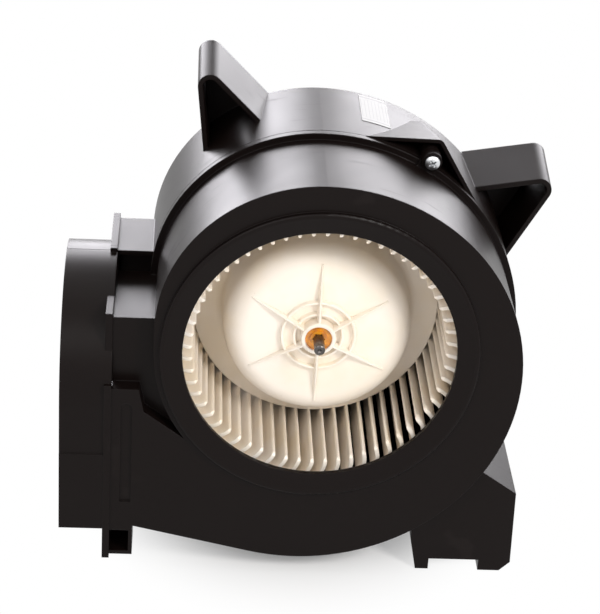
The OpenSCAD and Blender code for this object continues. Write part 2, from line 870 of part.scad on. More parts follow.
// Two blades that stand in the connector
module terminals() {
    color([0.82, 0.8, 0.72]) placed() for (x = [-4, 4])
        translate([x - blade_contact_t / 2, cap_back + plug_wall + 1.5, plug_z - plug_h / 2 + 3])
            cube([blade_contact_t, 6.3, plug_h - 3 - plug_wall]);
}

module connector_housing() {
    color([0.12, 0.12, 0.13]) placed() difference() {
        translate([-plug_w / 2, cap_back, plug_z - plug_h / 2]) cube([plug_w, plug_d, plug_h]);
        translate([-plug_w / 2 + plug_wall, cap_back + plug_wall, plug_z - plug_h / 2 - cut])
            cube([plug_w - 2 * plug_wall, plug_d - 2 * plug_wall, plug_h - plug_wall + cut]);
    }
}

// ---- fasteners and label ----

// A pan-head screw that points towards +Y, its head against y
module pan_screw(y, length) {
    difference() {
        union() {
            spun() intersection() {
                translate([0, y - screw_head]) square([screw_head_r, screw_head]);
                translate([0, y + 1.2 * screw_head_r - screw_head]) circle(1.2 * screw_head_r);
            }
            rod(screw_r, y, y + length);
        }
        for (a = [0, 90]) rotate([0, a, 0]) translate([-recess_l / 2, y - screw_head - cut, -recess_w / 2])
            cube([recess_l, cut + recess_d, recess_w]);
    }
}

module housing_screws() {
    color(steel) placed() for (i = [0 : 2]) at_post(i) translate([post_out, 0, 0])
        pan_screw(seam_depth - seam_gap - seam_rib - 4, post_length);
}

module motor_screws() {
    color(steel) placed() at_motor_screws()
        translate([0, housing_depth + motor_flange_t, 0]) rotate([180, 0, 0]) pan_screw(0, 12);
}

// A thin label on the rear moulding's band, near its rear edge
module rating_label() {
    length = 38;
    start = 70.6;
    span = 8.2;
    film_t = 0.2;
    glue_t = 0.05;
    r_in = scroll_side_r + rear_growth + glue_t;
    y1 = housing_depth - wall;
    color([0.95, 0.95, 0.93]) placed() slab(y1 - length, y1) difference() {
        pie(arc2, r_in + film_t, start, start + span);
        translate(arc2) circle(r_in);
    }
}

front_housing();
rear_housing();
impeller();
hub_bush();
shaft_clip();
motor_shaft();
motor_can();
motor_end_cap();
motor_flange();
front_bearing();
rear_bearing();
thrust_washers();
magnets();
magnet_springs();
armature_core();
windings();
commutator();
brush_plate();
brush_holders();
brushes();
brush_springs();
terminals();
connector_housing();
housing_screws();
motor_screws();
rating_label();
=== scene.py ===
"""Dressing of a single-inlet DC blower: mouldings, impeller, motor, fasteners, label and a plain studio.

The part's axis runs along Y with the inlet towards -Y. Everything is in metres, in the part's own frame.
"""

import math

import bmesh
import bpy
from bpy.props import FloatProperty, FloatVectorProperty, IntProperty, PointerProperty
from mathutils import Matrix, Vector


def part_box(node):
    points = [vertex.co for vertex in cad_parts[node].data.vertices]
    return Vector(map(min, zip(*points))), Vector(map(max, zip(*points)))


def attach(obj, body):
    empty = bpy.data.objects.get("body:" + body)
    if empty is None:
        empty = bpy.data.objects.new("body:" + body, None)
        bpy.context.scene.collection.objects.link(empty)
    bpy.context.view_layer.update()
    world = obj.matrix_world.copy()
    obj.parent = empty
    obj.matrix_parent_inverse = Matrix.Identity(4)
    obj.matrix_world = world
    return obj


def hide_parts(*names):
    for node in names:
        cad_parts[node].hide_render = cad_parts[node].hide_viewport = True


bl_info = {
    "name": "Blower Dressing",
    "version": (1, 0, 0),
    "blender": (4, 5, 0),
    "location": "View3D > Sidebar > Blower",
    "description": "Dresses a centrifugal blower with its mouldings, impeller, motor and studio",
    "category": "Object",
}

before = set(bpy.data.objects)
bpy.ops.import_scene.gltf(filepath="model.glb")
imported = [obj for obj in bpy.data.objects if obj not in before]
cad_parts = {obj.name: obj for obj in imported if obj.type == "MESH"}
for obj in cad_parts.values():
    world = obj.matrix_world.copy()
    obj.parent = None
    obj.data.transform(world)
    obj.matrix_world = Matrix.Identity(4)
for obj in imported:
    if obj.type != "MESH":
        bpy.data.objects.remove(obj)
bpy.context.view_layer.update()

WHEEL_LOW, WHEEL_HIGH = (Vector(c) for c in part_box("impeller"))
AXIS = Vector(((WHEEL_LOW.x + WHEEL_HIGH.x) / 2, 0.0, (WHEEL_LOW.z + WHEEL_HIGH.z) / 2))
WHEEL_RADIUS = (WHEEL_HIGH.x - WHEEL_LOW.x) / 2
BLADE_FRONT = WHEEL_LOW.y
BLADE_BACK = WHEEL_HIGH.y
BUSH_LOW, BUSH_HIGH = (Vector(c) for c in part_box("hub_bush"))
MM = 0.001


# ---- node graphs ----


class Wire:
    """A socket that takes part in Python expressions: each operator adds its Math node."""

    def __init__(self, graph, socket):
        self.graph = graph
        self.socket = socket

    def _math(self, operation, *values):
        sockets = dict(enumerate(values))
        return self.graph.add("ShaderNodeMath", {"operation": operation}, sockets)

    def __add__(self, other):
        return self._math("ADD", self, other)

    __radd__ = __add__

    def __sub__(self, other):
        return self._math("SUBTRACT", self, other)

    def __rsub__(self, other):
        return self._math("SUBTRACT", other, self)

    def __mul__(self, other):
        return self._math("MULTIPLY", self, other)

    __rmul__ = __mul__

    def __truediv__(self, other):
        return self._math("DIVIDE", self, other)

    def __rtruediv__(self, other):
        return self._math("DIVIDE", other, self)

    def __pow__(self, other):
        return self._math("POWER", self, other)

    def __neg__(self):
        return self._math("MULTIPLY", self, -1.0)

    def sin(self):
        return self._math("SINE", self)

    def cos(self):
        return self._math("COSINE", self)

    def root(self):
        return self._math("SQRT", self)

    def size(self):
        return self._math("ABSOLUTE", self)

    def fraction(self):
        return self._math("FRACT", self)

    def bearing(self, other):
        return self._math("ARCTAN2", self, other)

    def lowest(self, other):
        return self._math("MINIMUM", self, other)

    def highest(self, other):
        return self._math("MAXIMUM", self, other)

    def held(self, low, high):
        return self.highest(low).lowest(high)

    def step(self, low, high):
        """0 below low, 1 above high and smooth between them."""
        return self.graph.add("ShaderNodeMapRange", {"interpolation_type": "SMOOTHSTEP"},
                              {"Value": self, "From Min": low, "From Max": high})


class Graph:
    """Adds nodes to a tree by their type, their settings and the values or links of their sockets."""

    def __init__(self, tree):
        self.tree = tree

    def feed(self, socket, value):
        if isinstance(value, Wire):
            self.tree.links.new(value.socket, socket)
        elif isinstance(value, tuple) and socket.type == "RGBA" and len(value) == 3:
            socket.default_value = (*value, 1.0)
        else:
            socket.default_value = value

    def place(self, kind, settings=None, sockets=None):
        """The node itself, for one with several outputs."""
        node = self.tree.nodes.new(kind)
        for name, value in (settings or {}).items():
            setattr(node, name, value)
        for name, value in (sockets or {}).items():
            self.feed(node.inputs[name], value)
        return node

    def add(self, kind, settings=None, sockets=None, out=0):
        return Wire(self, self.place(kind, settings, sockets).outputs[out])

    def looked_at(self):
        """1 for what is seen straight on, in a reflection or through glass, 0 for light that only falls."""
        rays = self.place("ShaderNodeLightPath")
        camera, glossy, through = (Wire(self, rays.outputs[f"Is {kind} Ray"])
                                   for kind in ("Camera", "Glossy", "Transmission"))
        return camera.highest(glossy).highest(through)

    def joined(self, x, y, z):
        return self.add("ShaderNodeCombineXYZ", None, {0: x, 1: y, 2: z})

    def split(self, vector):
        node = self.place("ShaderNodeSeparateXYZ", None, {0: vector})
        return [Wire(self, s) for s in node.outputs]


class Finish(Graph):
    """A material: a Principled BSDF and what varies over the surface."""

    def __init__(self, name, colour, roughness, metallic=0.0, **constants):
        self.material = bpy.data.materials.new(name)
        self.material.use_nodes = True
        super().__init__(self.material.node_tree)
        self.tree.nodes.clear()
        self.shader = self.place("ShaderNodeBsdfPrincipled", None, {
            "Base Color": colour, "Roughness": roughness, "Metallic": metallic})
        for socket, value in constants.items():
            self.feed(self.shader.inputs[socket.replace("_", " ").title().replace("Ior", "IOR")], value)
        output = self.place("ShaderNodeOutputMaterial")
        self.tree.links.new(self.shader.outputs[0], output.inputs[0])
        self.coordinates = self.add("ShaderNodeTexCoord", out="Object")

    def about(self, centre, stretch=(1.0, 1.0, 1.0)):
        """Object coordinates counted from a centre and stretched."""
        moved = self.add("ShaderNodeVectorMath", {"operation": "SUBTRACT"},
                         {0: self.coordinates, 1: tuple(centre)})
        return self.add("ShaderNodeMapping", None, {"Vector": moved, "Scale": stretch})

    def noise(self, scale, detail=3.0, roughness=0.55, vector=None, distortion=0.0):
        return self.add("ShaderNodeTexNoise", None, {
            "Vector": vector or self.coordinates, "Scale": scale, "Detail": detail,
            "Roughness": roughness, "Distortion": distortion})

    def tint(self, share, first, second):
        node = self.place("ShaderNodeMix", {"data_type": "RGBA"}, {0: share, 6: first, 7: second})
        return Wire(self, node.outputs[2])

    def colour(self, value):
        self.feed(self.shader.inputs["Base Color"], value)

    def roughness(self, value):
        self.feed(self.shader.inputs["Roughness"], value)

    def relief(self, height, distance, edge=0.0, strength=1.0):
        """Bump from a height, over edges that are rounded by the given radius."""
        sockets = {"Height": height, "Distance": distance, "Strength": strength}
        if edge > 0:
            sockets["Normal"] = self.add("ShaderNodeBevel", {"samples": 6}, {"Radius": edge})
        self.feed(self.shader.inputs["Normal"], self.add("ShaderNodeBump", None, sockets))


# ---- finishes ----


def moulded_black(name, colour, roughness, edge):
    """Black polypropylene: a fine grain, faint flow marks and a few handling scuffs."""
    finish = Finish(name, colour, roughness, ior=1.22)
    flow = finish.noise(13.0, 3.0, distortion=0.6)
    grain = finish.noise(1500.0, 2.0)
    scratch = finish.noise(1.0, 2.0, 0.7, vector=finish.about(AXIS, (26.0, 240.0, 30.0)), distortion=0.4)
    scuff = scratch.step(0.63, 0.7) * finish.noise(14.0, 2.0).step(0.5, 0.65)
    pale = tuple(min(1.0, c * 2.0 + 0.008) for c in colour)
    finish.colour(finish.tint(scuff * 0.2 + grain * 0.12, colour, pale))
    finish.roughness((roughness - 0.12 + flow * 0.24 + scuff * 0.1).held(0.12, 0.8))
    finish.relief(grain * 0.6 + flow * 2.0, 0.00003, edge)
    return finish.material


def moulded_ivory(name, colour, roughness, edge):
    """Ivory nylon: smooth, with faint warm clouds and a dusting of grime where the air runs."""
    finish = Finish(name, colour, roughness, ior=1.5)
    cloud = finish.noise(28.0, 3.0)
    speck = finish.noise(420.0, 2.0).step(0.72, 0.8)
    warm = (colour[0] * 0.96, colour[1] * 0.9, colour[2] * 0.76)
    clouded = finish.tint(cloud.step(0.35, 0.75) * 0.6, colour, warm)
    finish.colour(finish.tint(speck * 0.18, clouded, (0.42, 0.34, 0.24)))
    finish.roughness(roughness - 0.06 + cloud * 0.12)
    finish.relief(finish.noise(900.0, 2.0) * 0.5 + cloud, 0.00004, edge)
    return finish.material


def moulded_amber(name, colour):
    """Amber plastic bush: glossy, with darker swirls."""
    finish = Finish(name, colour, 0.25, ior=1.55, coat_weight=0.6, coat_roughness=0.08)
    swirl = finish.noise(160.0, 3.0, distortion=0.8)
    deep = (colour[0] * 0.55, colour[1] * 0.42, colour[2] * 0.4)
    finish.colour(finish.tint(swirl.step(0.3, 0.7), colour, deep))
    finish.roughness(0.2 + swirl * 0.14)
    finish.relief(swirl, 0.0001, 0.0003)
    return finish.material


def turned_steel(name, colour, roughness, edge=0.0002):
    """Turned or plated steel: fine rings round the axis and small stains."""
    finish = Finish(name, colour, roughness, 1.0)
    x, y, z = finish.split(finish.about(AXIS))
    radius = (x * x + z * z).root()
    rings = (radius * 9000.0).sin() * 0.5 + (y * 7000.0).sin() * 0.5
    stain = finish.noise(220.0, 3.0)
    finish.colour(finish.tint(stain.step(0.5, 0.75) * 0.5, colour, tuple(c * 0.62 for c in colour)))
    finish.roughness((roughness + rings * 0.04 + stain * 0.1).held(0.08, 0.8))
    finish.relief(rings, 0.000012, edge)
    return finish.material


def zinc_plate(name, colour, roughness, edge):
    """Drawn and zinc-plated steel: faint crystals, draw marks along the axis, dull patches."""
    finish = Finish(name, colour, roughness, 1.0)
    crystal = finish.add("ShaderNodeTexVoronoi", None, {"Vector": finish.coordinates, "Scale": 260.0})
    patch = finish.noise(34.0, 4.0)
    drawn = finish.noise(1.0, 2.0, vector=finish.about(AXIS, (900.0, 24.0, 900.0)))
    dull = tuple(c * 0.7 for c in colour)
    finish.colour(finish.tint(patch.step(0.42, 0.7) * 0.55 + drawn * 0.1, colour, dull))
    finish.roughness((roughness - 0.08 + patch * 0.2 + crystal * 0.12).held(0.15, 0.85))
    finish.relief(drawn + crystal * 0.4, 0.00002, edge)
    return finish.material


def sintered(name, colour, roughness, metallic):
    """A sintered or pressed body: fine pores and a mottled tone."""
    finish = Finish(name, colour, roughness, metallic)
    pores = finish.noise(2400.0, 2.0)
    mottle = finish.noise(150.0, 3.0)
    finish.colour(finish.tint(mottle, colour, tuple(c * 0.7 for c in colour)))
    finish.roughness(roughness - 0.05 + mottle * 0.1)
    finish.relief(pores, 0.00004, 0.0002)
    return finish.material


def laminated(name, colour, pitch):
    """A stack of punched sheets: a line at each sheet along the axis."""
    finish = Finish(name, colour, 0.5, 0.9)
    depth = finish.split(finish.coordinates)[1]
    sheet = (depth / pitch).fraction()
    joint = (sheet - 0.5).size().step(0.36, 0.48)
    finish.colour(finish.tint(joint * 0.7 + finish.noise(120.0) * 0.2, colour, (0.05, 0.045, 0.045)))
    finish.roughness(0.42 + joint * 0.3)
    finish.relief(1.0 - joint, 0.00005)
    return finish.material


def wound_copper(name, colour, wire):
    """Enamelled wire: parallel turns that run with the radius at the ends, and a varnish; the colour is
    darker in the grooves between the turns, which is painted shade, mixed with a random tone.
    """
    finish = Finish(name, colour, 0.3, 1.0, coat_weight=0.5, coat_roughness=0.15)
    x, y, z = finish.split(finish.about(AXIS))
    turn = (z.bearing(x) * (0.03 / wire) + y / wire * 0.35).fraction() - 0.5
    crown = 1.0 - turn * turn * 4.0
    tone = finish.noise(90.0, 3.0)
    groove_shade = (colour[0] * 0.45, colour[1] * 0.3, colour[2] * 0.25)
    # darker between the turns: painted shade in the grooves, plus a random tone
    finish.colour(finish.tint(tone * 0.5 + (1.0 - crown) * 0.5, colour, groove_shade))
    finish.roughness(0.24 + tone * 0.2)
    finish.relief(crown, 0.00018)
    return finish.material


def label_film(name, colour, centre, along, across):
    """Blank printed film: a thin frame and ruled lines with nothing on them, and a little scuffing."""
    finish = Finish(name, colour, 0.6, ior=1.15)
    x, y, z = finish.split(finish.about(centre))
    u = (y / along).size()
    v = x.bearing(z + centre[2] - AXIS.z) * (centre[2] - AXIS.z) / across
    frame_line = (u.step(0.8, 0.83) * (1.0 - u.step(0.85, 0.88))).highest(0.0)
    rules = ((v * 4.0 + 0.5).fraction() - 0.5).size().step(0.42, 0.48) * (1.0 - u.step(0.66, 0.7))
    scuff = finish.noise(300.0, 3.0).step(0.55, 0.7)
    ink = ((frame_line * 0.6 + rules * 0.7) * (1.0 - scuff * 0.4)).held(0.0, 1.0)
    finish.colour(finish.tint(ink, colour, (0.22, 0.22, 0.24)))
    finish.roughness(0.55 + scuff * 0.15)
    finish.relief(scuff, 0.00002)
    return finish.material


# ---- meshes ----


def settle(name, mesh, body, material, smooth=0.6, move=None):
    """Puts a finished mesh in the scene on its body: faces outwards, smooth but for sharp edges."""
    work = bmesh.new()
    work.from_mesh(mesh)
    if move is not None:
        work.transform(move)
    bmesh.ops.remove_doubles(work, verts=work.verts, dist=1e-6)
    bmesh.ops.recalc_face_normals(work, faces=work.faces)
    work.to_mesh(mesh)
    work.free()
    mesh.name = name
    for face in mesh.polygons:
        face.use_smooth = True
    mesh.set_sharp_from_angle(angle=smooth)
    mesh.materials.clear()
    mesh.materials.append(material)
    piece = bpy.data.objects.new(name, mesh)
    bpy.context.scene.collection.objects.link(piece)
    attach(piece, body)
    return piece


def rounded(corners, radii, steps=5):
    """A closed outline whose corners are rounded by the given radii."""
    outline = []
    count = len(corners)
    for i, corner in enumerate(corners):
        here = Vector(corner)
        before, after = Vector(corners[i - 1]) - here, Vector(corners[(i + 1) % count]) - here
        radius = radii[i] if isinstance(radii, (list, tuple)) else radii
        if radius <= 0:
            outline.append(tuple(here))
            continue
        half = before.angle(after) / 2
        reach = min(radius / math.tan(half), before.length * 0.49, after.length * 0.49)
        radius = reach * math.tan(half)
        centre = here + (before.normalized() + after.normalized()).normalized() * (radius / math.sin(half))
        start, end = here + before.normalized() * reach - centre, here + after.normalized() * reach - centre
        for k in range(steps + 1):
            turned = start.lerp(end, k / steps).normalized() * radius
            outline.append(tuple(centre + turned))
    return outline


def turned(outline, steps=128):
    """A mesh of revolution about Y: the outline holds radius and depth."""
    mesh = bpy.data.meshes.new("turned")
    points, faces = [], []
    size = len(outline)
    for k in range(steps):
        angle = 2 * math.pi * k / steps
        points += [(r * math.cos(angle), y, r * math.sin(angle)) for r, y in outline]
    for k in range(steps):
        here, there = k * size, (k + 1) % steps * size
        for i in range(size):
            j = (i + 1) % size
            faces.append((here + i, here + j, there + j, there + i))
    mesh.from_pydata(points, [], faces)
    mesh.update()
    return mesh


def merged(meshes):
    """One mesh from several, each left as its own closed shell."""
    whole = bmesh.new()
    for mesh in meshes:
        whole.from_mesh(mesh)
    mesh = bpy.data.meshes.new("merged")
    whole.to_mesh(mesh)
    whole.free()
    return mesh


def islands(node):
    """The lowest and highest corner of each separate solid in a CAD node, from left to right."""
    work = bmesh.new()
    work.from_mesh(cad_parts[node].data)
    bmesh.ops.remove_doubles(work, verts=work.verts, dist=1e-6)
    left = set(work.verts)
    boxes = []
    while left:
        front = [left.pop()]
        found = list(front)
        while front:
            for edge in front.pop().link_edges:
                for vert in edge.verts:
                    if vert in left:
                        left.discard(vert)
                        front.append(vert)
                        found.append(vert)
        low = Vector([min(v.co[i] for v in found) for i in range(3)])
        high = Vector([max(v.co[i] for v in found) for i in range(3)])
        boxes.append((low, high))
    work.free()
    return sorted(boxes, key=lambda b: tuple(b[0]))


# ---- geometry graphs ----


class Growth(Graph):
    """A Geometry Nodes tree with named inputs."""

    KINDS = {int: "NodeSocketInt", float: "NodeSocketFloat", bpy.types.Material: "NodeSocketMaterial"}

    def __init__(self, name, inputs):
        tree = bpy.data.node_groups.new(name, "GeometryNodeTree")
        super().__init__(tree)
        self.face = tree.interface
        self.face.new_socket("Geometry", in_out="OUTPUT", socket_type="NodeSocketGeometry")
        self.names = {}
        self.values = inputs
        for label, value in inputs.items():
            kind = self.KINDS.get(type(value), "NodeSocketFloat")
            self.names[label] = self.face.new_socket(label, in_out="INPUT", socket_type=kind).identifier
        self.entry = self.place("NodeGroupInput")
        self.exit = self.place("NodeGroupOutput")

    def __getitem__(self, label):
        return Wire(self, self.entry.outputs[label])

    def strip(self, around, rows):
        """A grid that closes round itself: an angle round the section, a way along it from 0 to 1,
        and a cap that is 0 in the two outermost rows, where the section shuts."""
        grid = self.place("GeometryNodeMeshGrid", None, {
            "Size X": 1.0, "Size Y": 1.0, "Vertices X": around + 1, "Vertices Y": rows})
        x, y, _ = self.split(self.add("GeometryNodeInputPosition"))
        angle = (x + 0.5) * (2 * math.pi)
        row = (y + 0.5) * float(rows - 1)
        way = ((row - 1.0) / float(rows - 3)).held(0.0, 1.0)
        cap = row.lowest(float(rows - 1) - row).held(0.0, 1.0)
        return Wire(self, grid.outputs["Mesh"]), angle, way, cap

    def shape(self, mesh, position):
        """Moves a grid's points, then closes its seam."""
        moved = self.add("GeometryNodeSetPosition", None, {"Geometry": mesh, "Position": position})
        return self.add("GeometryNodeMergeByDistance", None, {"Geometry": moved, "Distance": 0.00001})

    def ring(self, mesh, count, start):
        """Copies round the Y axis."""
        points = self.add("GeometryNodePoints", None, {"Count": count})
        index = self.add("GeometryNodeInputIndex")
        turn = self.joined(0.0, -(index * (2 * math.pi) / count + start), 0.0)
        return self.add("GeometryNodeInstanceOnPoints", None, {
            "Points": points, "Instance": mesh, "Rotation": turn})

    def finish(self, geometry, material):
        real = self.add("GeometryNodeRealizeInstances", None, {"Geometry": geometry})
        painted = self.add("GeometryNodeSetMaterial", None, {"Geometry": real, "Material": material})
        self.feed(self.exit.inputs["Geometry"], painted)

    def grown(self):
        """The tree's result as a plain mesh."""
        seed = bpy.data.objects.new(self.tree.name, bpy.data.meshes.new(self.tree.name))
        bpy.context.scene.collection.objects.link(seed)
        modifier = seed.modifiers.new(self.tree.name, "NODES")
        modifier.node_group = self.tree
        for label, value in self.values.items():
            modifier[self.names[label]] = value
        depsgraph = bpy.context.evaluated_depsgraph_get()
        mesh = bpy.data.meshes.new_from_object(seed.evaluated_get(depsgraph))
        bpy.data.objects.remove(seed)
        return mesh


def blades_tree(sizes, material):
    """Forward-curved blades between the rings: each starts out radially and leans into the spin."""
    tree = Growth("Impeller blades", {
        "Count": sizes.blade_count, "Inner Radius": sizes.inner_radius,
        "Outer Radius": WHEEL_RADIUS - 0.5 * MM, "Front": BLADE_FRONT, "Back": BLADE_BACK,
        "Thickness": sizes.blade_thickness, "Chamfer": sizes.blade_chamfer,
        "Sweep": sizes.blade_sweep, "Material": material})
    mesh, angle, way, cap = tree.strip(20, 9)
    along = (1.0 - angle.cos()) * 0.5
    side = (angle.sin() * 2.0).held(-1.0, 1.0) * cap
    curve = tree["Outer Radius"] - tree["Inner Radius"] + 0.5 * MM
    bend = along * tree["Sweep"]
    reach = curve + side * tree["Thickness"] * 0.5
    radial = tree["Inner Radius"] + reach * bend.sin()
    sideways = reach * bend.cos() - curve
    cut = (tree["Chamfer"] - (radial - tree["Inner Radius"])).highest(0.0)
    front = tree["Front"] + 0.4 * MM + cut
    depth = front + way * (tree["Back"] - 0.4 * MM - front)
    blade = tree.shape(mesh, tree.joined(radial, depth, sideways))
    tree.finish(tree.ring(blade, tree["Count"], 0.0), tree["Material"])
    return tree


def ribs_tree(sizes, material, disc):
    """Tapered ribs on the hub's disc, from the boss outwards."""
    tree = Growth("Hub ribs", {
        "Count": sizes.rib_count, "Start": sizes.boss_radius - 1 * MM, "Reach": sizes.rib_reach,
        "Height": sizes.rib_height, "Thickness": sizes.rib_thickness, "Disc": disc, "Material": material})
    mesh, angle, way, cap = tree.strip(12, 11)
    radial = tree["Start"] + way * (tree["Reach"] - tree["Start"])
    height = tree["Height"] * (1.0 - way) ** 0.85
    around = angle.cos()
    side = angle.sin()
    top = (0.5 - around * 0.62).held(0.0, 1.0)
    wide = tree["Thickness"] * (0.75 - top * 0.3) * (1.0 - way * 0.55)
    sideways = side * wide * cap
    depth = tree["Disc"] + 0.6 * MM - top * (height + 0.6 * MM) * cap
    rib = tree.shape(mesh, tree.joined(radial, depth, sideways))
    tree.finish(tree.ring(rib, tree["Count"], math.pi / 2), tree["Material"])
    return tree


def screws_tree(name, head_radius, head_height, shank_radius, length, material):
    """A pan-head screw with a cross recess, its head towards -Y and its seat at the origin."""
    tree = Growth(name, {
        "Head Radius": head_radius, "Head Height": head_height, "Shank Radius": shank_radius,
        "Length": length, "Recess Width": 0.9 * MM, "Material": material})
    mesh, angle, way, cap = tree.strip(32, 12)
    # way 0 to 0.5 runs over the dome from its middle to its rim, and 0.5 to 1 under it and down the shank
    dome = (way * 2.0).held(0.0, 1.0)
    under = (way * 2.0 - 1.0).held(0.0, 1.0)
    out = (dome * (math.pi / 2)).sin() ** 0.8
    rim = tree["Head Radius"] * out
    neck = (under * 4.0).held(0.0, 1.0)
    radius = (rim + neck * (tree["Shank Radius"] - rim)) * cap
    rise = (dome * (math.pi / 2)).cos() ** 1.3
    down = ((under - 0.25) / 0.75).held(0.0, 1.0)
    seat = (under * 40.0).held(0.0, 1.0) * tree["Head Height"] * 0.35
    depth = -(tree["Head Height"] * (0.35 + rise * 0.65)) + seat + down * tree["Length"]
    body = tree.shape(mesh, tree.joined(radius * angle.cos(), depth, radius * angle.sin()))
    cuts = []
    for turn in (0.0, math.pi / 2):
        size = tree.joined(tree["Head Radius"] * 1.05, tree["Head Height"] * 1.3, tree["Recess Width"])
        cube = tree.add("GeometryNodeMeshCube", None, {"Size": size})
        cuts.append(tree.add("GeometryNodeTransform", None, {
            "Geometry": cube, "Translation": tree.joined(0.0, -tree["Head Height"] * 0.95, 0.0),
            "Rotation": (0.0, turn, 0.0)}))
    carved = tree.place("GeometryNodeMeshBoolean", {"operation": "DIFFERENCE"}, {"Mesh 1": body})
    for cutter in cuts:
        tree.tree.links.new(cutter.socket, carved.inputs["Mesh 2"])
    tree.finish(Wire(tree, carved.outputs["Mesh"]), tree["Material"])
    return tree


# ---- settings ----


class BlowerPlasticSettings(bpy.types.PropertyGroup):
    """Finish of the black mouldings and the label on them."""

    colour: FloatVectorProperty(name="Housing colour", description="Base colour of the two mouldings",
                                subtype="COLOR", size=3, min=0, max=1, default=(0.0048, 0.0026, 0.0022))
    roughness: FloatProperty(name="Housing roughness", description="Gloss of the housing: lower is shinier",
                             subtype="FACTOR", min=0.05, max=1, default=0.35)
    edge: FloatProperty(name="Edge radius", description="Radius that the mouldings' edges show",
                        unit="LENGTH", min=0, max=0.003, default=0.0009)
    # the label's colour is held grey, well under white film, to offset the lamps' light on the band:
    # painted shade
    label: FloatVectorProperty(name="Label colour", description="Base colour of the blank label",
                               subtype="COLOR", size=3, min=0, max=1, default=(0.42, 0.42, 0.415))


class BlowerImpellerSettings(bpy.types.PropertyGroup):
    """Sizes and finish of the impeller."""

    colour: FloatVectorProperty(name="Impeller colour", description="Base colour of the wheel",
                                subtype="COLOR", size=3, min=0, max=1, default=(0.94, 0.86, 0.765))
    blade_count: IntProperty(name="Blades", description="Number of blades round the wheel",
                             min=12, max=90, default=60)
    inner_radius: FloatProperty(name="Blade inner radius", description="Radius where the blades start",
                                unit="LENGTH", min=0.04, max=0.08, default=0.0694)
    blade_thickness: FloatProperty(name="Blade thickness", description="Thickness of a blade",
                                   unit="LENGTH", min=0.0006, max=0.003, default=0.0022)
    blade_chamfer: FloatProperty(name="Blade cut-back",
                                 description="How far the blades' inner front corners are cut back",
                                 unit="LENGTH", min=0, max=0.014, default=0.0016)
    blade_sweep: FloatProperty(name="Blade sweep", description="Angle through which a blade curves",
                               subtype="ANGLE", min=0.5, max=1.5, default=math.radians(67))
    rib_count: IntProperty(name="Ribs", description="Radial ribs on the hub", min=3, max=12, default=6)
    rib_reach: FloatProperty(name="Rib reach", description="Radius where the ribs end",
                             unit="LENGTH", min=0.02, max=0.05, default=0.0433)
    rib_height: FloatProperty(name="Rib height", description="Height of the ribs at the boss",
                              unit="LENGTH", min=0.002, max=0.013, default=0.006)
    rib_thickness: FloatProperty(name="Rib thickness", description="Thickness of the ribs at the boss",
                                 unit="LENGTH", min=0.001, max=0.004, default=0.0022)
    boss_radius: FloatProperty(name="Boss radius", description="Outside radius of the hub's boss",
                               unit="LENGTH", min=0.008, max=0.016, default=0.0097)
    bush: FloatVectorProperty(name="Bush colour", description="Base colour of the bush and its clip",
                              subtype="COLOR", size=3, min=0, max=1, default=(0.85, 0.34, 0.01))


class BlowerFastenerSettings(bpy.types.PropertyGroup):
    """Sizes of the screws and finish of the steel."""

    head_height: FloatProperty(name="Head height", description="Height of a screw's head",
                               unit="LENGTH", min=0.001, max=0.005, default=0.0024)
    steel: FloatVectorProperty(name="Steel colour", description="Base colour of the plated steel",
                               subtype="COLOR", size=3, min=0, max=1, default=(0.72, 0.73, 0.75))
    # the zinc colour is held darker than bare plating to offset the back panels' light on the motor:
    # painted shade
    zinc: FloatVectorProperty(name="Zinc colour", description="Base colour of the motor's zinc plating",
                              subtype="COLOR", size=3, min=0, max=1, default=(0.36, 0.365, 0.375))


class BlowerStageSettings(bpy.types.PropertyGroup):
    """Camera and lamps."""

    azimuth: FloatProperty(name="Camera azimuth", description="Direction of the camera round the part",
                           subtype="ANGLE", default=math.radians(-3.675))
    elevation: FloatProperty(name="Camera elevation", description="Height of the camera over the horizon",
                             subtype="ANGLE", default=math.radians(27.869))
    roll: FloatProperty(name="Camera roll", description="How far the camera is tipped",
                        subtype="ANGLE", default=math.radians(3.609))
    lens: FloatProperty(name="Lens", description="Focal length in millimetres",
                        min=20, max=400, default=123.127)
    place: FloatVectorProperty(name="Camera place", description="Where the camera stands",
                               subtype="TRANSLATION", unit="LENGTH", size=3,
                               default=(-0.072355, -1.071056, 0.70029))
    key: FloatProperty(name="Key light", description="Power of the softbox at the front right in watts",
                       min=0, default=13)
    fill: FloatProperty(name="Fill light", description="Power of the softbox at the front left in watts",
                        min=0, default=8)
    rim: FloatProperty(name="Back light", description="Power of the left panel behind the part in watts",
                       min=0, default=36)
    top: FloatProperty(name="Top light", description="Power of the softbox overhead in watts",
                       min=0, default=3)
    room: FloatProperty(name="Room light", description="Strength of the even light from all round",
                        subtype="FACTOR", min=0, max=1, default=0.42)
    floor: FloatVectorProperty(name="Floor colour", description="Base colour of the floor",
                               subtype="COLOR", size=3, min=0, max=1, default=(0.95, 0.945, 0.94))


# ---- operators ----


def repaint(node, material):
    """Gives a CAD node its material."""
    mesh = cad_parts[node].data
    mesh.materials.clear()
    mesh.materials.append(material)


class BLOWER_OT_housings(bpy.types.Operator):
    """Finish the two black mouldings of the scroll housing"""

    bl_idname = "blower.housings"
    bl_label = "Housing mouldings"

    def execute(self, context):
        sizes = context.scene.blower_plastic
        colour = tuple(sizes.colour)
        for node in ("front_housing", "rear_housing"):
            repaint(node, moulded_black(f"{node} plastic", colour, sizes.roughness, sizes.edge))
        return {"FINISHED"}


# the wheel's hub: depths count from the blades' front edge, radii from the axis
DISC_DEPTH, DISC_RADIUS, DISC_CROWN = 20.5 * MM, 52 * MM, 13 * MM
SHELF_DEPTH, BELL_WALL, BELL_CORNER = 56 * MM, 2.5 * MM, 10.5 * MM
FRONT_RING_WIDTH, FRONT_RING_DEPTH = 4.5 * MM, 2.5 * MM
RING_RIBS = ((13.5 * MM, 3.2 * MM), (20.3 * MM, 2.8 * MM))  # radius and height
BUSH_RECESS, BUSH_GAP = 1.5 * MM, 0.05 * MM


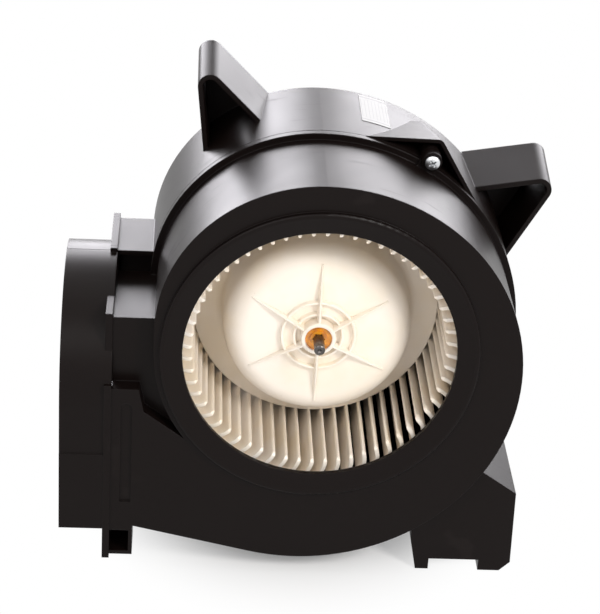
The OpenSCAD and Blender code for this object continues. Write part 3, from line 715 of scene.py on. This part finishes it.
class BLOWER_OT_impeller(bpy.types.Operator):
    """Build the ivory wheel: blades, rings, bell-shaped hub and ribs"""

    bl_idname = "blower.impeller"
    bl_label = "Impeller"

    def execute(self, context):
        sizes = context.scene.blower_impeller
        ivory = moulded_ivory("ivory nylon", tuple(sizes.colour), 0.42, 0.0006)
        at_axis = Matrix.Translation(AXIS)
        front, back, wall = BLADE_FRONT, BLADE_BACK, BELL_WALL
        disc, shelf = front + DISC_DEPTH, front + SHELF_DEPTH
        bush_r = (BUSH_HIGH.x - BUSH_LOW.x) / 2
        boss_front, boss_back = BUSH_LOW.y - BUSH_RECESS, BUSH_HIGH.y

        blades = blades_tree(sizes, ivory).grown()
        settle("wheel_blades", blades, "rotor", ivory, 0.7, at_axis)

        ring_r = WHEEL_RADIUS - FRONT_RING_WIDTH
        ring = rounded([(WHEEL_RADIUS, front), (ring_r, front), (ring_r, front + FRONT_RING_DEPTH),
                        (WHEEL_RADIUS, front + FRONT_RING_DEPTH)], 0.7 * MM)
        shelf_r, flank_r = sizes.inner_radius + 0.6 * MM, DISC_RADIUS + 1.5 * MM
        bell_r, bore_r = sizes.inner_radius - 1 * MM, bush_r + BUSH_GAP
        bell = rounded(*zip(
            # front face, from the bore over the disc, down the flank and out along the shelf
            ((bore_r, disc), 0), ((DISC_RADIUS, disc), DISC_CROWN), ((flank_r, shelf), 4 * MM),
            ((shelf_r, shelf), 0.6 * MM), ((shelf_r, shelf + wall), 0.6 * MM),
            ((flank_r + 2 * wall, shelf + wall), 0), ((bell_r, back - wall), 3 * MM),
            # rear flange that carries the blades, then the inside back to the bore
            ((WHEEL_RADIUS, back - wall), 0.6 * MM), ((WHEEL_RADIUS, back), 0.6 * MM),
            ((bell_r - wall, back), 1 * MM), ((flank_r - wall, shelf + wall), 0),
            ((DISC_RADIUS - wall, disc + wall), BELL_CORNER), ((bore_r, disc + wall), 0)), 10)
        boss = rounded([(bush_r, boss_front), (sizes.boss_radius, boss_front),
                        (sizes.boss_radius + 0.6 * MM, boss_back), (bush_r, boss_back)],
                       [0.3 * MM, 0.8 * MM, 0.6 * MM, 0])
        shells = [turned(ring, 180), turned(bell, 180), turned(boss, 72)]
        for radius, height in RING_RIBS:
            foot, crest = 1 * MM, 0.7 * MM
            shells.append(turned(rounded([(radius - foot, disc + 1 * MM), (radius - crest, disc - height),
                                          (radius + crest, disc - height), (radius + foot, disc + 1 * MM)],
                                         [0, 0.5 * MM, 0.5 * MM, 0]), 96))
        hub = settle("wheel_hub", merged(shells), "rotor", ivory, 0.6, at_axis)
        ribs = ribs_tree(sizes, ivory, disc).grown()
        settle("hub_ribs", ribs, "rotor", ivory, 0.8, at_axis)
        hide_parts("impeller")
        return {"FINISHED"}


class BLOWER_OT_shaft(bpy.types.Operator):
    """Finish the bush, its clip and the shaft"""

    bl_idname = "blower.shaft"
    bl_label = "Bush and shaft"

    def execute(self, context):
        amber = moulded_amber("amber bush", tuple(context.scene.blower_impeller.bush))
        for node in ("hub_bush", "shaft_clip"):
            repaint(node, amber)
        # the shaft's steel colour is held far darker than bare steel: painted dark reflection
        repaint("motor_shaft", turned_steel("ground shaft", (0.13, 0.12, 0.115), 0.2))
        repaint("thrust_washers", sintered("washer nylon", (0.75, 0.73, 0.68), 0.5, 0.0))
        return {"FINISHED"}


class BLOWER_OT_motor(bpy.types.Operator):
    """Finish the motor's can, end cap, flange, bearings, magnets and armature"""

    bl_idname = "blower.motor"
    bl_label = "Motor"

    def execute(self, context):
        sizes = context.scene.blower_fasteners
        steel = tuple(sizes.steel)
        zinc = zinc_plate("zinc plate", tuple(sizes.zinc), 0.42, 0.0006)
        for node in ("motor_can", "motor_end_cap", "motor_flange"):
            repaint(node, zinc)
        bronze = sintered("oiled bronze", (0.36, 0.22, 0.1), 0.42, 1.0)
        for node in ("front_bearing", "rear_bearing"):
            repaint(node, bronze)
        repaint("magnets", sintered("ferrite", (0.03, 0.03, 0.033), 0.6, 0.0))
        repaint("magnet_springs", turned_steel("magnet spring steel", steel, 0.35))
        repaint("armature_core", laminated("core laminations", (0.34, 0.35, 0.37), 0.0007))
        repaint("windings", wound_copper("enamelled copper", (0.72, 0.3, 0.12), 0.0009))
        repaint("commutator", turned_steel("turned copper", (0.75, 0.36, 0.2), 0.32, 0.0001))
        repaint("brush_plate", sintered("brush plate laminate", (0.2, 0.12, 0.06), 0.55, 0.0))
        repaint("brush_holders", turned_steel("holder brass", (0.72, 0.52, 0.22), 0.3))
        repaint("brushes", sintered("carbon", (0.025, 0.025, 0.027), 0.45, 0.3))
        repaint("brush_springs", turned_steel("spring wire", steel, 0.28, 0.0))
        return {"FINISHED"}


class BLOWER_OT_connector(bpy.types.Operator):
    """Finish the connector and its two blades"""

    bl_idname = "blower.connector"
    bl_label = "Connector"

    def execute(self, context):
        repaint("connector_housing", moulded_black("connector plastic", (0.02, 0.019, 0.019), 0.45, 0.0003))
        repaint("terminals", turned_steel("tinned brass", (0.74, 0.66, 0.5), 0.3))
        return {"FINISHED"}


class BLOWER_OT_fasteners(bpy.types.Operator):
    """Build the seam screws and the motor screws with their cross recesses"""

    bl_idname = "blower.fasteners"
    bl_label = "Screws"

    def execute(self, context):
        sizes = context.scene.blower_fasteners
        steel = turned_steel("plated screw steel", tuple(sizes.steel), 0.26, 0.0003)
        for node, towards in (("housing_screws", 1.0), ("motor_screws", -1.0)):
            boxes = islands(node)
            low, high = boxes[0]
            head = (high.x - low.x) / 2
            length = high.y - low.y - sizes.head_height
            tree = screws_tree(f"{node} tree", head, sizes.head_height, 2 * MM, length, steel)
            screw = tree.grown()
            copies = []
            for low, high in boxes:
                middle = (low + high) / 2
                seat = low.y + sizes.head_height if towards > 0 else high.y - sizes.head_height
                copy = screw.copy()
                facing = Matrix.Rotation(0.0 if towards > 0 else math.pi, 4, "Z")
                driven = Matrix.Rotation(middle.x * 90, 4, "Y")  # each screw stops at its own angle
                copy.transform(Matrix.Translation((middle.x, seat, middle.z)) @ facing @ driven)
                copies.append(copy)
            piece = settle(f"{node}_cross_recess", merged(copies), "housing", steel, 0.6)
            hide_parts(node)
        return {"FINISHED"}


class BLOWER_OT_label(bpy.types.Operator):
    """Finish the blank film on the rear band"""

    bl_idname = "blower.label"
    bl_label = "Blank label"

    def execute(self, context):
        low, high = (Vector(c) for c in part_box("rating_label"))
        middle = (low + high) / 2
        colour = tuple(context.scene.blower_plastic.label)
        half = (high - low) / 2
        repaint("rating_label", label_film("label film", colour, middle, half.y, half.x))
        return {"FINISHED"}


# name, setting that holds the power, share of it, size, place, aim and tone
LAMPS = (
    ("key_softbox", "key", 1.0, (0.4, 0.4), (0.83, -0.97, 1.02), (0, -0.07, 0.15), (1.0, 0.985, 0.96)),
    ("fill_softbox", "fill", 1.0, (1.1, 0.9), (-0.7, -1.3, 1.3), (0, -0.05, 0.13), (1.0, 0.985, 0.97)),
    ("back_panel", "rim", 1.0, (1.0, 0.85), (-0.5, 1.22, 0.68), (0, 0, 0.18), (0.97, 0.95, 1.0)),
    ("back_panel_right", "rim", 0.75, (1.0, 0.85), (0.62, 1.18, 0.66), (0, 0, 0.18), (0.98, 0.96, 1.0)),
    ("top_softbox", "top", 1.0, (1.3, 1.0), (0.0, 0.1, 1.7), (0, 0, 0), (1.0, 0.99, 0.98)),
)
FLOOR_HALF = 12.0
FLOOR_FADE = (0.03, 0.13)  # how far out the floor starts to turn white, and where it is white


class BLOWER_OT_stage(bpy.types.Operator):
    """Lay the floor, hang the lamps and set the camera"""

    bl_idname = "blower.stage"
    bl_label = "Stage"

    def execute(self, context):
        sizes = context.scene.blower_stage
        self.floor(sizes)
        self.world(context.scene, sizes)
        for name, setting, share, size, place, aim, tone in LAMPS:
            self.lamp(name, place, aim, size, getattr(sizes, setting) * share, tone)
        self.camera(context.scene, sizes)
        context.scene.view_settings.view_transform = "Standard"
        return {"FINISHED"}

    def floor(self, sizes):
        """A pale floor whose far part turns into plain white, so that no horizon shows."""
        mesh = bpy.data.meshes.new("floor")
        half = FLOOR_HALF
        corners = [(-half, -half, 0), (half, -half, 0), (half, half, 0), (-half, half, 0)]
        mesh.from_pydata(corners, [], [(0, 1, 2, 3)])
        mesh.update()
        sheet = bpy.data.objects.new("floor", mesh)
        bpy.context.scene.collection.objects.link(sheet)
        finish = Finish("pale floor", tuple(sizes.floor), 0.75)
        mottle = finish.noise(6.0, 2.0)
        finish.colour(finish.tint(mottle * 0.06, tuple(sizes.floor), (0.9, 0.895, 0.89)))
        x, y, _ = finish.split(finish.coordinates)
        far = (x * x + y * y).root().step(*FLOOR_FADE)
        seen = finish.looked_at()
        white = finish.add("ShaderNodeEmission", None, {"Color": (1.0, 1.0, 1.0), "Strength": 1.0})
        mix = finish.add("ShaderNodeMixShader", None, {
            0: far * seen, 1: Wire(finish, finish.shader.outputs[0]), 2: white})
        output = next(n for n in finish.tree.nodes if n.type == "OUTPUT_MATERIAL")
        finish.feed(output.inputs["Surface"], mix)
        mesh.materials.append(finish.material)

    def world(self, scene, sizes):
        """Even light from all round, which looks plain white where it is looked at."""
        world = bpy.data.worlds.new("studio")
        scene.world = world
        world.use_nodes = True
        graph = Graph(world.node_tree)
        world.node_tree.nodes.clear()
        strength = sizes.room + graph.looked_at() * (1.0 - sizes.room)
        light = graph.add("ShaderNodeBackground", None, {"Color": (1.0, 1.0, 1.0), "Strength": strength})
        output = graph.place("ShaderNodeOutputWorld")
        graph.feed(output.inputs["Surface"], light)

    def lamp(self, name, place, aim, size, power, tone):
        """A soft rectangular lamp that the camera doesn't see."""
        light = bpy.data.lights.new(name, "AREA")
        light.shape = "RECTANGLE"
        light.size, light.size_y = size
        light.energy = power
        light.color = tone
        lamp = bpy.data.objects.new(name, light)
        lamp.location = place
        lamp.rotation_euler = (Vector(aim) - Vector(place)).to_track_quat("-Z", "Y").to_euler()
        lamp.visible_camera = False
        bpy.context.scene.collection.objects.link(lamp)

    def camera(self, scene, sizes):
        """The camera, turned by its azimuth, elevation and roll at its own place."""
        turn, rise, roll = sizes.azimuth, sizes.elevation, sizes.roll
        back = Vector((math.sin(turn) * math.cos(rise), -math.cos(turn) * math.cos(rise), math.sin(rise)))
        right = Vector((math.cos(turn), math.sin(turn), 0.0))
        up = back.cross(right)
        tipped_right = right * math.cos(roll) + up * math.sin(roll)
        tipped_up = up * math.cos(roll) - right * math.sin(roll)
        lens = bpy.data.cameras.new("camera")
        lens.lens = sizes.lens
        lens.sensor_width = 36.0
        lens.clip_start = 0.05
        lens.clip_end = 50.0
        camera = bpy.data.objects.new("camera", lens)
        camera.matrix_world = Matrix.Translation(Vector(sizes.place)) @ Matrix((
            tipped_right, tipped_up, back)).transposed().to_4x4()
        scene.collection.objects.link(camera)
        scene.camera = camera


class BLOWER_PT_panel(bpy.types.Panel):
    """Lists the pieces of the blower and their sizes"""

    bl_idname = "BLOWER_PT_panel"
    bl_label = "Blower"
    bl_space_type = "VIEW_3D"
    bl_region_type = "UI"
    bl_category = "Blower"

    def draw(self, context):
        layout = self.layout
        for step in STEPS:
            layout.operator(step.bl_idname)
        for name in SETTINGS:
            group = getattr(context.scene, name)
            box = layout.box()
            for label in group.bl_rna.properties.keys():
                if label not in ("rna_type", "name"):
                    box.prop(group, label)


STEPS = (BLOWER_OT_housings, BLOWER_OT_impeller, BLOWER_OT_shaft, BLOWER_OT_motor, BLOWER_OT_connector,
         BLOWER_OT_fasteners, BLOWER_OT_label, BLOWER_OT_stage)
SETTINGS = {"blower_plastic": BlowerPlasticSettings, "blower_impeller": BlowerImpellerSettings,
            "blower_fasteners": BlowerFastenerSettings, "blower_stage": BlowerStageSettings}


def register():
    for group in SETTINGS.values():
        bpy.utils.register_class(group)
    for step in STEPS:
        bpy.utils.register_class(step)
    bpy.utils.register_class(BLOWER_PT_panel)
    for name, group in SETTINGS.items():
        setattr(bpy.types.Scene, name, PointerProperty(type=group))


def unregister():
    for name in SETTINGS:
        delattr(bpy.types.Scene, name)
    bpy.utils.unregister_class(BLOWER_PT_panel)
    for step in reversed(STEPS):
        bpy.utils.unregister_class(step)
    for group in reversed(list(SETTINGS.values())):
        bpy.utils.unregister_class(group)


def main():
    register()
    bpy.ops.blower.housings()
    bpy.ops.blower.impeller()
    bpy.ops.blower.shaft()
    bpy.ops.blower.motor()
    bpy.ops.blower.connector()
    bpy.ops.blower.fasteners()
    bpy.ops.blower.label()
    bpy.ops.blower.stage()


if __name__ == "__main__":
    main()
